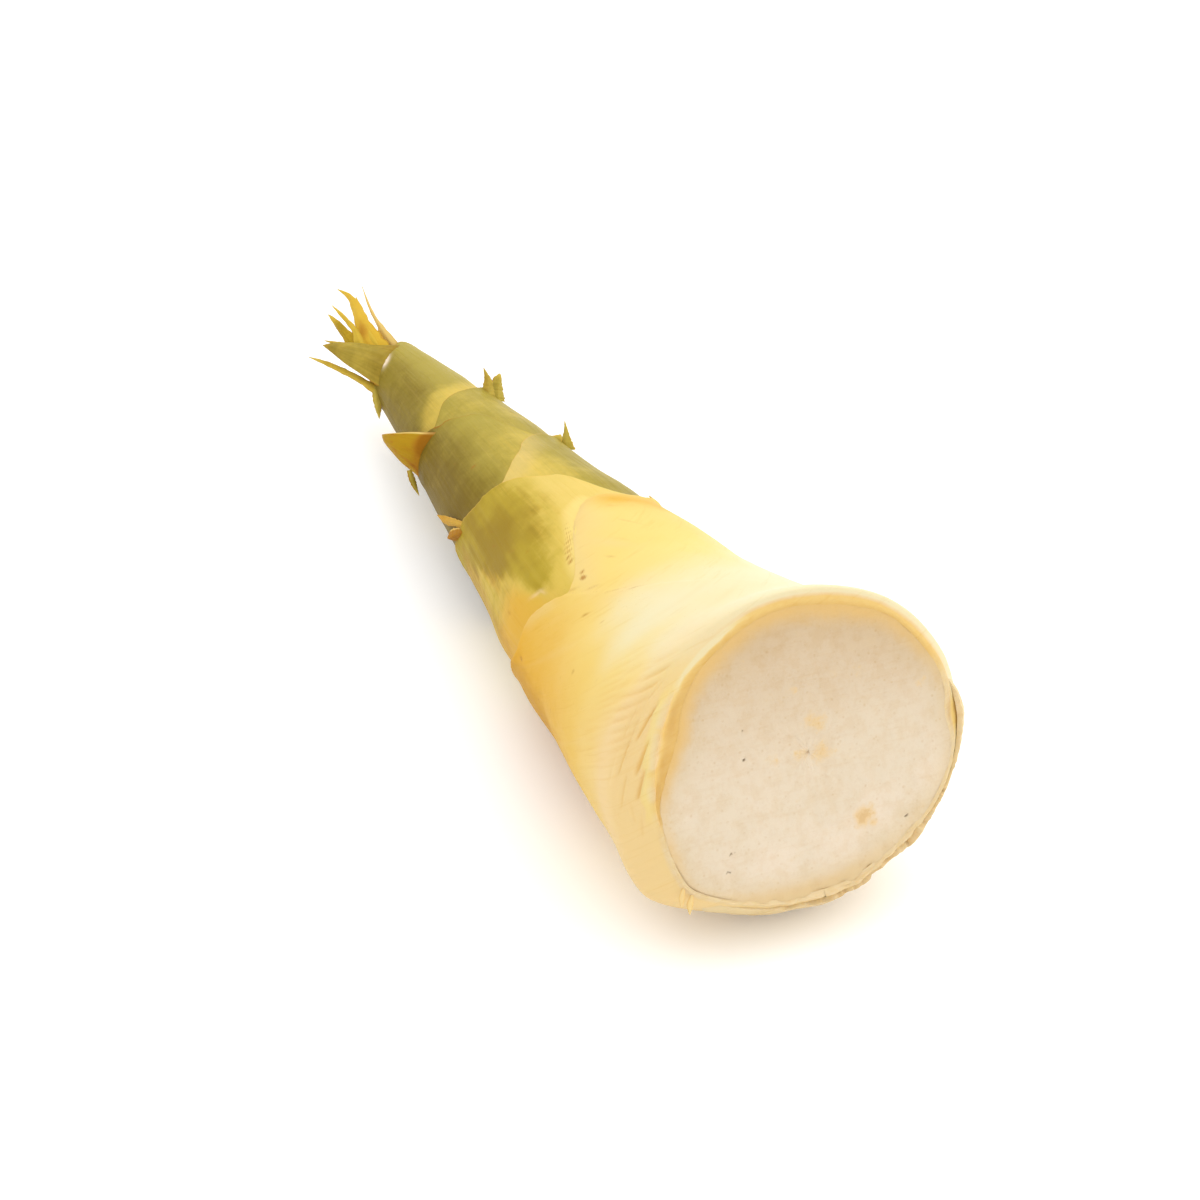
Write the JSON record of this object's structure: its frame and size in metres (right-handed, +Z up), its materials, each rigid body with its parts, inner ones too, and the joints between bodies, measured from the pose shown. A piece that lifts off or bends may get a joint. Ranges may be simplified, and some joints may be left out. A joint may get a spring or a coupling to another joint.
{
  "type": "bamboo shoot",
  "caption": "Fresh bamboo shoot cut flat at the base, a tapering solid culm in overlapping sheaths that turn from pale yellow to olive green, with a tuft of narrow leaves at the tip",
  "frame": {"origin": "middle of the footprint, on the surface the shoot lies on", "axes": "+X from the cut base to the tip, +Z up, +Y to the left when looking from the base to the tip"},
  "size_m": [0.3205, 0.0921, 0.0869],
  "materials": {
    "flesh": "matte",
    "torn_sheath": "matte",
    "sheath_yellow": "satin",
    "sheath_olive": "satin",
    "sheath_green": "satin",
    "leaf": "matte"
  },
  "bodies": {
    "root": {"culm": "flesh", "base_collar": "torn_sheath", "sheath_1": "sheath_yellow", "sheath_2": "sheath_olive", "sheath_3": "sheath_olive", "sheath_4": "sheath_green", "sheath_5": "sheath_green", "sheath_6": "sheath_green", "tip_leaf_1": "leaf", "tip_leaf_2": "leaf", "tip_leaf_3": "leaf", "tip_leaf_4": "leaf", "tip_leaf_5": "leaf", "tip_leaf_6": "leaf", "side_blade": "leaf"}
  },
  "joints": []
}
